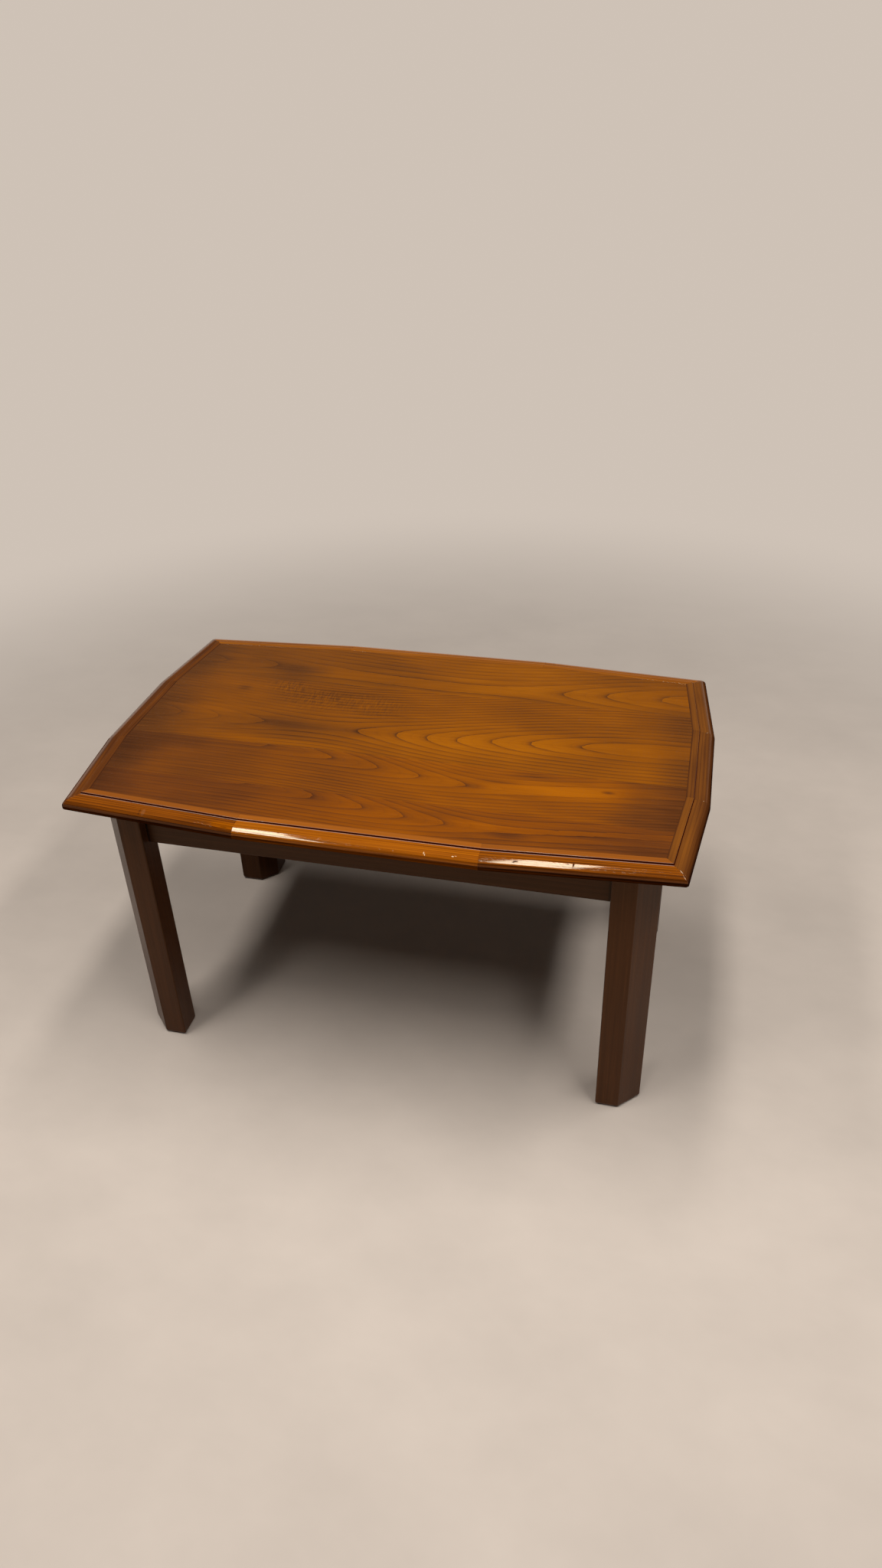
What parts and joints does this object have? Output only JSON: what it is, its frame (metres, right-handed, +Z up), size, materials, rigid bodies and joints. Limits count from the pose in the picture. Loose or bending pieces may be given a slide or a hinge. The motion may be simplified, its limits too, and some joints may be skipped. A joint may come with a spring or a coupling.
{
  "type": "coffee table",
  "caption": "Low coffee table with a bowed, faceted top, a moulded rim round a veneered field, and hexagonal legs joined by plain aprons.",
  "frame": {"origin": "on the floor, under the middle of the top", "axes": "+X along the table, +Y from its front to its back, +Z up"},
  "size_m": [0.85, 0.53, 0.45],
  "materials": {
    "lacquered_field": "semi-gloss lacquer over orange-brown stain, flat-sawn figure",
    "lacquered_rim": "semi-gloss lacquer over orange-brown stain, straight grain along each piece",
    "stained_frame": "satin lacquer over dark brown stain",
    "panel_core": "plain, unfinished",
    "button_wood": "plain, unfinished",
    "zinc_steel": "zinc plated"
  },
  "bodies": {
    "root": {"rim_front_left": "lacquered_rim", "rim_front_middle": "lacquered_rim", "rim_front_right": "lacquered_rim", "rim_right_front": "lacquered_rim", "rim_right_middle": "lacquered_rim", "rim_right_back": "lacquered_rim", "rim_back_right": "lacquered_rim", "rim_back_middle": "lacquered_rim", "rim_back_left": "lacquered_rim", "rim_left_back": "lacquered_rim", "rim_left_middle": "lacquered_rim", "rim_left_front": "lacquered_rim", "face_veneer_back": "lacquered_field", "face_veneer_middle_back": "lacquered_field", "face_veneer_middle_front": "lacquered_field", "face_veneer_front": "lacquered_field", "top_core": "panel_core", "backing_veneer": "panel_core", "leg_front_left": "stained_frame", "leg_front_right": "stained_frame", "leg_back_right": "stained_frame", "leg_back_left": "stained_frame", "apron_front": "stained_frame", "apron_back": "stained_frame", "apron_right": "stained_frame", "apron_left": "stained_frame", "corner_plate_front_left": "zinc_steel", "corner_plate_front_right": "zinc_steel", "corner_plate_back_right": "zinc_steel", "corner_plate_back_left": "zinc_steel", "hanger_bolt_front_left": "zinc_steel", "hanger_bolt_front_right": "zinc_steel", "hanger_bolt_back_right": "zinc_steel", "hanger_bolt_back_left": "zinc_steel", "washer_front_left": "zinc_steel", "washer_front_right": "zinc_steel", "washer_back_right": "zinc_steel", "washer_back_left": "zinc_steel", "wing_nut_front_left": "zinc_steel", "wing_nut_front_right": "zinc_steel", "wing_nut_back_right": "zinc_steel", "wing_nut_back_left": "zinc_steel", "top_button_front_left": "button_wood", "top_button_front_right": "button_wood", "top_button_back_left": "button_wood", "top_button_back_right": "button_wood", "top_button_left": "button_wood", "top_button_right": "button_wood", "button_screw_front_left": "zinc_steel", "button_screw_front_right": "zinc_steel", "button_screw_back_left": "zinc_steel", "button_screw_back_right": "zinc_steel", "button_screw_left": "zinc_steel", "button_screw_right": "zinc_steel"}
  },
  "joints": []
}
